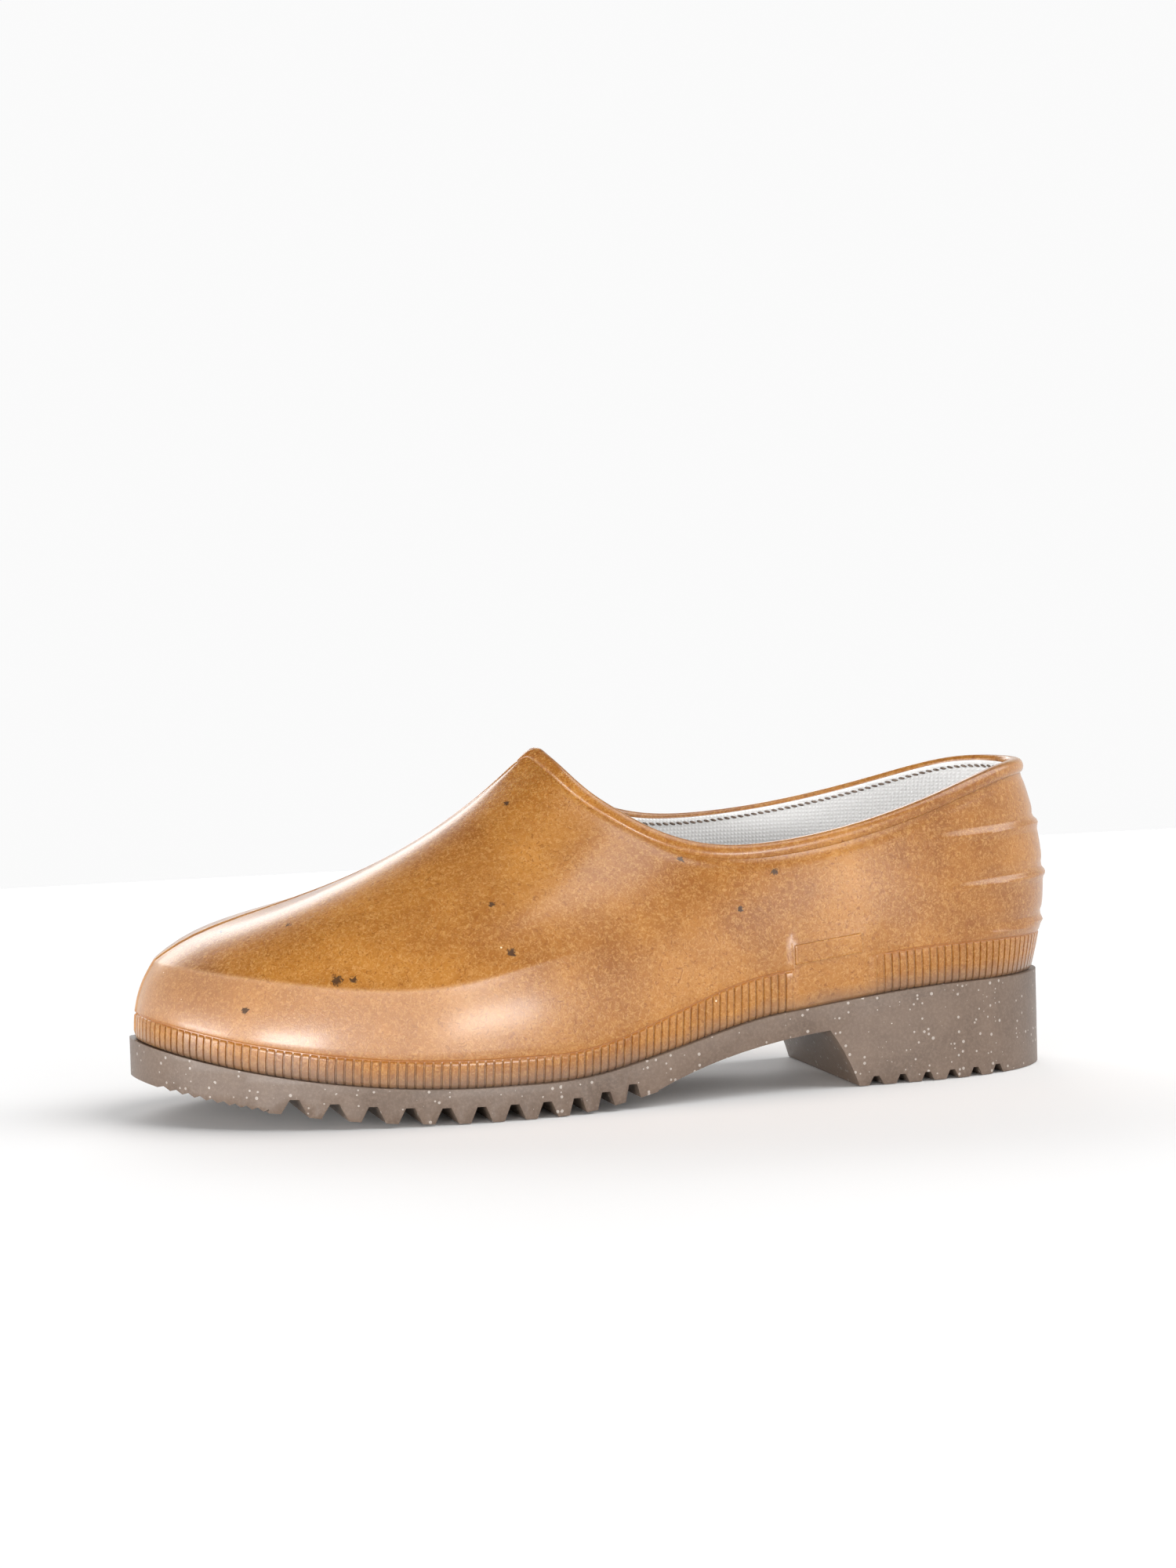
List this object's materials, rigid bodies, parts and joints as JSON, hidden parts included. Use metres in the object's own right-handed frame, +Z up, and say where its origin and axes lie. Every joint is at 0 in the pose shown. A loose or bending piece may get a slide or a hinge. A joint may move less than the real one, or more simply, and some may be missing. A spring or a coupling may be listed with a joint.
{
  "type": "rubber garden clog",
  "caption": "Low slip-on rubber garden clog for a left foot, with a ribbed foot band, a lugged outsole with a block heel, a knitted lining and a loose footbed.",
  "frame": {"origin": "on the ground under the middle of the clog's bounding box", "axes": "+X towards the heel, -X towards the toe, -Y towards the outer side of the foot, +Y towards the inner side, +Z up"},
  "size_m": [0.2925, 0.104, 0.1076],
  "materials": {
    "amber_rubber": "translucent amber PVC rubber, satin, with fine textile fibres mixed in",
    "sole_rubber": "grey-brown PVC rubber, satin",
    "knit_lining": "light grey knitted polyester",
    "insole_board": "pressed non-woven fibre board",
    "stitching": "dark polyester overlock thread",
    "footbed_foam": "open-cell latex foam, matte",
    "footbed_cloth": "grey brushed non-woven cloth"
  },
  "bodies": {
    "root": {"upper_shell": "amber_rubber", "outsole": "sole_rubber", "lining_sock": "knit_lining", "insole_board": "insole_board", "strobel_stitching": "stitching", "collar_stitching": "stitching", "lining_back_seam": "knit_lining", "footbed": "footbed_foam", "footbed_cover": "footbed_cloth"}
  },
  "joints": []
}
